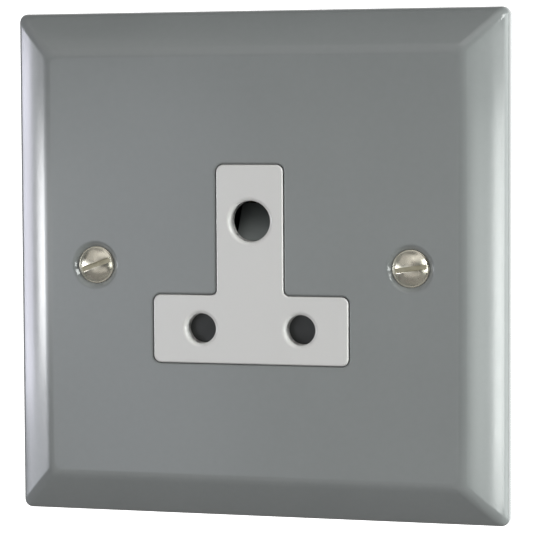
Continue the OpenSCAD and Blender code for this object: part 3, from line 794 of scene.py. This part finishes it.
def build_insert():
    """The insert's front with rounded edges and hole mouths, joined to the front housing behind it."""
    sizes = bpy.context.scene.outlet_insert
    front, seam = HOUSING_LOW.y, HOUSING_LOW.y + 1.1 * MM
    bm = bmesh.new()
    outer = []
    for k in range(5):
        a = math.pi / 2 * k / 4
        grow = sizes.edge * (math.sin(a) - 1)
        outer.append(ring(bm, insert_outline(sizes, grow), front + sizes.edge * (1 - math.cos(a))))
    outer.append(ring(bm, insert_outline(sizes), seam))
    skin(bm, outer)
    body = copy_node("front_housing", "front_housing_body")
    mouths, ends = [], []
    for x, z, radius in (
        (0.0, sizes.earth_z, sizes.earth_hole),
        (-sizes.line_x, -sizes.line_z, sizes.line_hole),
        (sizes.line_x, -sizes.line_z, sizes.line_hole),
    ):
        rings = []
        for k in range(9):
            a = math.pi / 2 * k / 8
            rings.append(ring(
                bm, circle_outline(x, z, radius + sizes.lip * (1 - math.sin(a))), front + sizes.lip * (1 - math.cos(a))
            ))
        wide = radius + sizes.relief
        rings.append(ring(bm, circle_outline(x, z, wide), seam))
        skin(bm, rings)
        mouths.append(rings[0])
        ends.append(rings[-1])
        bore = bmesh.new()
        stop = SHUTTER_LOW.y - sizes.flange_gap
        lathe(bore, [(0.0, front - MM), (wide, front - MM), (wide, stop), (0.0, stop)], x, z, 72)
        cut(body, make_object("hole_relief", bore))
    fill(bm, outer[0], mouths)
    fill(bm, outer[-1], ends)
    face = make_object("insert_and_front_housing", bm)
    smooth(merge(face, keep_behind(body, seam - 0.02 * MM)))
    finish_piece(face, finishes()["white"], nodes=("front_housing",))


def build_rear_housing():
    """The rear housing with its edges broken."""
    rear = smooth(copy_node("rear_housing", "rear_housing_moulding", joined=True), bevel=0.25 * MM)
    finish_piece(rear, finishes()["dark"], nodes=("rear_housing",))


def slot_cutter(x, top, width, depth, span, angle):
    """Box that cuts a screwdriver slot across a head."""
    bm = bmesh.new()
    bmesh.ops.create_cube(bm, size=1.0)
    bmesh.ops.scale(bm, vec=(span, 2 * depth, width), verts=bm.verts)
    bmesh.ops.rotate(bm, cent=(0, 0, 0), matrix=Matrix.Rotation(-angle, 3, "Y"), verts=bm.verts)
    bmesh.ops.translate(bm, vec=(x, top, 0), verts=bm.verts)
    return make_object("slot_cutter", bm)


def build_fixing_screws():
    """Two slotted screws with raised countersunk heads and rolled threads."""
    sizes, plate = bpy.context.scene.outlet_fasteners, bpy.context.scene.outlet_plate
    head, shank = sizes.head / 2, sizes.shank / 2
    rim = -plate.depth + (plate.dimple_mouth - sizes.head) / 2
    land = rim - sizes.land
    crown = head - sizes.shoulder
    bulge = (crown**2 + sizes.dome**2) / (2 * sizes.dome)
    reach = math.asin(crown / bulge)
    under = rim - 0.04 * MM
    core = shank - 0.55 * sizes.thread_pitch
    for side, angle, name in ((-1, sizes.left_slot, "left"), (1, sizes.right_slot, "right")):
        x = side * sizes.fixing_x
        profile = [(0.0, land - sizes.dome)]
        for k in range(1, 13):
            a = reach * k / 12
            profile.append((bulge * math.sin(a), land - sizes.dome + bulge * (1 - math.cos(a))))
        for k in range(1, 7):
            a = math.pi / 2 * k / 6
            profile.append((crown + sizes.shoulder * math.sin(a), land + sizes.shoulder * 0.8 * (1 - math.cos(a))))
        profile += [(head, under), (shank, under + head - shank), (shank, under + head - shank + 2.5 * MM),
                    (core, under + head - shank + 2.9 * MM), (core, SCREW_HIGH.y - 0.6 * MM),
                    (0.0, SCREW_HIGH.y - 0.6 * MM)]
        bm = bmesh.new()
        lathe(bm, profile, x, 0.0, 72)
        screw = make_object(f"fixing_screw_{name}_turned", bm)
        cutter = slot_cutter(x, land - sizes.dome, sizes.slot_width, sizes.slot_depth, 2.4 * head, angle)
        smooth(cut(screw, cutter), bevel=0.05 * MM)
        bm = bmesh.new()
        thread(bm, x, 0.0, under + head - shank + 2.6 * MM, SCREW_HIGH.y, shank, sizes.thread_pitch, rows=6)
        threads = smooth(make_object("threads", bm), angle=math.radians(50))
        merge(screw, threads)
        finish_piece(screw, finishes()["nickel"], nodes=(f"fixing_screw_{name}",))


def build_fasteners():
    """Nuts with chamfered corners on the plate's studs."""
    sizes = bpy.context.scene.outlet_fasteners
    stud_x, stud_z, front = stud_place()
    bm = bmesh.new()
    count = 72
    flats, bore = sizes.nut_flats / 2, sizes.stud / 2 + 0.02 * MM
    strap = NUTS_HIGH.y - NUTS_LOW.y - sizes.nut_height
    for sx in (-1, 1):
        for sz in (-1, 1):
            y0 = front + (strap if sx < 0 and sz > 0 else 0.0)
            y1 = y0 + sizes.nut_height
            x, z = sx * stud_x, sz * stud_z
            hexagon = []
            for i in range(count):
                turn = math.radians(360 * i / count)
                away = (turn + math.pi / 6) % (math.pi / 3) - math.pi / 6
                hexagon.append((turn, flats / math.cos(away)))
            face = 0.93 * flats
            rows = []
            for y, side in ((y0, 1), (y1, -1)):
                flat_ring = [(x + face * math.cos(t), z + face * math.sin(t)) for t, _ in hexagon]
                edge_ring = [
                    (x + r * math.cos(t), z + r * math.sin(t), y + side * (r - face) * math.tan(math.radians(30)))
                    for t, r in hexagon
                ]
                bore_ring = [(x + bore * math.cos(t), z + bore * math.sin(t)) for t, _ in hexagon]
                rows.append((
                    ring(bm, bore_ring, y), ring(bm, flat_ring, y),
                    [bm.verts.new((px, py, pz)) for px, pz, py in edge_ring],
                ))
            (b0, f0, e0), (b1, f1, e1) = rows
            skin(bm, [b0, f0, e0, e1, f1, b1, b0])
    nuts = smooth(make_object("plate_nuts_chamfered", bm), angle=math.radians(25))
    finish_piece(nuts, finishes()["zinc"], nodes=("plate_nuts",))


CARRIED = {
    "shutter": "shutter",
    "shutter_spring": "spring",
    "earth_contact": "brass",
    "live_contact": "brass",
    "neutral_contact": "brass",
    "earth_contact_clip": "spring",
    "live_contact_clip": "spring",
    "neutral_contact_clip": "spring",
    "earth_terminal": "brass_block",
    "live_terminal": "brass_block",
    "neutral_terminal": "brass_block",
    "earth_terminal_screw": "zinc",
    "live_terminal_screw": "zinc",
    "neutral_terminal_screw": "zinc",
    "earth_strap": "brass",
    "housing_screws": "zinc",
}


def dress_inner_parts():
    """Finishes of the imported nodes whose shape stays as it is."""
    made = finishes()
    for node, key in CARRIED.items():
        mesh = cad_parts[node].data
        mesh.materials.clear()
        mesh.materials.append(made[key])


# ---------------------------------------------------------------- studio


def stage_material(name, rgb, emission):
    """Plain pale surface of the studio."""
    finish = Finish(name, roughness=0.8)
    cloud = finish.spread(finish.noise(0.4), 0.3, 0.7)
    finish.feed("Base Color", finish.blend(cloud, shade(rgb, 0.99), rgb))
    if emission:
        finish.feed("Emission Color", (*rgb, 1.0))
        finish.feed("Emission Strength", emission)
    return finish.material


def sheet_object(name, corners, material):
    """Flat stage surface through four corners."""
    bm = bmesh.new()
    bm.faces.new([bm.verts.new(c) for c in corners])
    obj = make_object(name, bm)
    obj.data.materials.append(material)
    return obj


LIGHTS = (
    # name, azimuth span and elevation span in degrees seen from the plate, radiance, colour
    ("left_spill", (-56, -24), (-6.5, 0.5), 3.2, (0.93, 0.97, 1.0)),
    ("left_glow", (-72, -56), (-6.5, 0.5), 7.0, (0.93, 0.96, 1.0)),
    ("left_window", (-86, -72), (-6.5, 0.5), 17.0, (0.97, 0.98, 1.0)),
    ("left_gap", (-92, -86), (-8, 5), 1.7, (0.93, 0.95, 1.0)),
    ("left_wall", (-103, -92), (-8, 5), 7.6, (0.88, 0.87, 1.0)),
    ("left_haze_high", (-100, -60), (0.5, 12), 0.7, (0.93, 0.96, 1.0)),
    ("left_haze_low", (-100, -60), (-16, -6.5), 2.8, (0.90, 0.92, 1.0)),
    ("right_near", (52, 60), (-11.5, 1.6), 4.2, (0.94, 1.0, 0.97)),
    ("right_middle", (60, 65), (-11.5, 1.6), 2.3, (0.94, 1.0, 0.97)),
    ("right_window", (65, 70), (-11.5, 1.6), 16.4, (0.96, 1.0, 0.98)),
    ("right_tall", (70, 90), (-11.5, 2.2), 11.2, (0.96, 1.0, 0.98)),
    ("right_upper", (60, 70), (14, 32), 14.0, (0.96, 1.0, 0.98)),
    ("right_high", (70, 90), (14, 32), 10.0, (0.96, 1.0, 0.98)),
    ("right_side", (90, 125), (-15, 25), 3.9, (0.95, 1.0, 0.98)),
    ("overhead_left", (-70, 0), (12, 60), 0.48, (1.0, 0.99, 0.98)),
    ("overhead_right", (0, 60), (32, 60), 0.8, (1.0, 0.99, 0.98)),
    ("overhead_front", (-30, 30), (5, 75), 0.22, (1.0, 0.99, 0.98)),
    ("front_low", (-40, 40), (-48, -13), 0.5, (1.0, 0.99, 0.98)),
    ("front_left", (-25, -17), (-13, 3), 1.9, (0.88, 0.91, 1.0)),
    ("front_haze", (-17, 4), (-13, 3), 0.9, (0.97, 1.0, 1.0)),
)
LIGHT_DISTANCE = 1.0


def direction(azimuth, elevation):
    """Unit vector towards an azimuth measured from the front to the right and an elevation."""
    return Vector((
        math.sin(azimuth) * math.cos(elevation), -math.cos(azimuth) * math.cos(elevation), math.sin(elevation)
    ))


def panel_light(name, azimuths, elevations, radiance, rgb):
    """Soft panel that fills a span of directions and shows only in what it lights."""
    (a0, a1), (e0, e1) = (tuple(math.radians(v) for v in span) for span in (azimuths, elevations))
    away = direction((a0 + a1) / 2, (e0 + e1) / 2)
    width = 2 * LIGHT_DISTANCE * math.tan((a1 - a0) / 2) * math.cos((e0 + e1) / 2)
    height = 2 * LIGHT_DISTANCE * math.tan((e1 - e0) / 2)
    data = bpy.data.lights.new(name, "AREA")
    data.shape, data.size, data.size_y = "RECTANGLE", width, height
    data.energy, data.color = radiance * math.pi * width * height, rgb
    lamp = bpy.data.objects.new(name, data)
    lamp.location = away * LIGHT_DISTANCE
    lamp.rotation_mode = "QUATERNION"
    lamp.rotation_quaternion = away.to_track_quat("Z", "Y")
    lamp.visible_camera = False
    bpy.context.scene.collection.objects.link(lamp)


def build_stage():
    """Pale floor, lit backdrop, soft lights and the camera at the photograph's place."""
    scene, studio = bpy.context.scene, bpy.context.scene.outlet_studio
    floor_z, back_y = -0.6, 1.3
    sheet_object(
        "studio_floor", [(-3, -3, floor_z), (3, -3, floor_z), (3, 3, floor_z), (-3, 3, floor_z)],
        stage_material("studio_floor", (0.25, 0.24, 0.235), 0.0),
    )
    sheet_object(
        "studio_backdrop", [(-1.6, back_y, floor_z), (1.6, back_y, floor_z), (1.6, back_y, 1.4), (-1.6, back_y, 1.4)],
        stage_material("studio_backdrop", (1.0, 1.0, 1.0), studio.backdrop),
    )
    for light in LIGHTS:
        panel_light(*light)
    world = bpy.data.worlds.new("studio_room")
    scene.world = world
    world.use_nodes = True
    room = world.node_tree.nodes["Background"]
    room.inputs["Color"].default_value = (1.0, 1.0, 1.0, 1.0)
    room.inputs["Strength"].default_value = studio.ambient
    data = bpy.data.cameras.new("photo_camera")
    data.lens, data.sensor_width, data.clip_start, data.clip_end = studio.focal_length, 36.0, 0.01, 20.0
    data.dof.use_dof = False
    camera = bpy.data.objects.new("photo_camera", data)
    away = direction(studio.azimuth, studio.elevation)
    right = (-away).cross(Vector((0, 0, 1))).normalized()
    up = right.cross(-away)
    turned_right = right * math.cos(studio.roll) + up * math.sin(studio.roll)
    turned_up = up * math.cos(studio.roll) - right * math.sin(studio.roll)
    frame_axes = Matrix((turned_right, turned_up, away)).transposed().to_4x4()
    camera.matrix_world = Matrix.Translation(Vector(studio.target) + away * studio.distance) @ frame_axes
    scene.collection.objects.link(camera)
    scene.camera = camera
    scene.view_settings.view_transform = "Standard"
    scene.view_settings.look = "None"


# ---------------------------------------------------------------- add-on


class OUTLET_OT_plate(bpy.types.Operator):
    """Build the painted plate and its studs"""

    bl_idname = "outlet.plate"
    bl_label = "Plate"

    def execute(self, context):
        build_plate()
        return {"FINISHED"}


class OUTLET_OT_insert(bpy.types.Operator):
    """Build the T-shaped insert and the front housing"""

    bl_idname = "outlet.insert"
    bl_label = "Insert and front housing"

    def execute(self, context):
        build_insert()
        return {"FINISHED"}


class OUTLET_OT_rear_housing(bpy.types.Operator):
    """Build the rear housing"""

    bl_idname = "outlet.rear_housing"
    bl_label = "Rear housing"

    def execute(self, context):
        build_rear_housing()
        return {"FINISHED"}


class OUTLET_OT_fixing_screws(bpy.types.Operator):
    """Build the two slotted fixing screws"""

    bl_idname = "outlet.fixing_screws"
    bl_label = "Fixing screws"

    def execute(self, context):
        build_fixing_screws()
        return {"FINISHED"}


class OUTLET_OT_nuts(bpy.types.Operator):
    """Build the nuts on the plate's studs"""

    bl_idname = "outlet.nuts"
    bl_label = "Nuts"

    def execute(self, context):
        build_fasteners()
        return {"FINISHED"}


class OUTLET_OT_inner_parts(bpy.types.Operator):
    """Finish the shutter, contacts, terminals and their screws"""

    bl_idname = "outlet.inner_parts"
    bl_label = "Inner parts"

    def execute(self, context):
        dress_inner_parts()
        return {"FINISHED"}


class OUTLET_OT_stage(bpy.types.Operator):
    """Set up the floor, backdrop, lights and camera"""

    bl_idname = "outlet.stage"
    bl_label = "Studio"

    def execute(self, context):
        build_stage()
        return {"FINISHED"}


class OUTLET_PT_sidebar(bpy.types.Panel):
    """Lists the outlet's pieces and sizes"""

    bl_idname = "OUTLET_PT_sidebar"
    bl_label = "Round pin outlet"
    bl_space_type = "VIEW_3D"
    bl_region_type = "UI"
    bl_category = "Outlet"

    def draw(self, context):
        for group in ("outlet_plate", "outlet_insert", "outlet_fasteners", "outlet_colours", "outlet_studio"):
            box = self.layout.box()
            settings = getattr(context.scene, group)
            box.label(text=type(settings).__name__)
            for key in type(settings).__annotations__:
                box.prop(settings, key)
        for operator in OPERATORS:
            self.layout.operator(operator.bl_idname)


GROUPS = {
    "outlet_plate": PlateSizes,
    "outlet_insert": InsertSizes,
    "outlet_fasteners": FastenerSizes,
    "outlet_colours": FinishColours,
    "outlet_studio": StudioSettings,
}
OPERATORS = (
    OUTLET_OT_plate,
    OUTLET_OT_insert,
    OUTLET_OT_rear_housing,
    OUTLET_OT_fixing_screws,
    OUTLET_OT_nuts,
    OUTLET_OT_inner_parts,
    OUTLET_OT_stage,
)


def register():
    """Registers the sizes, operators and panel."""
    for cls in (*GROUPS.values(), *OPERATORS, OUTLET_PT_sidebar):
        bpy.utils.register_class(cls)
    for name, cls in GROUPS.items():
        setattr(bpy.types.Scene, name, PointerProperty(type=cls))


def unregister():
    """Takes the sizes, operators and panel away again."""
    for name in GROUPS:
        delattr(bpy.types.Scene, name)
    for cls in reversed((*GROUPS.values(), *OPERATORS, OUTLET_PT_sidebar)):
        bpy.utils.unregister_class(cls)


def main():
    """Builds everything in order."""
    register()
    for operator in OPERATORS:
        family, name = operator.bl_idname.split(".")
        getattr(getattr(bpy.ops, family), name)()


if __name__ == "__main__":
    main()
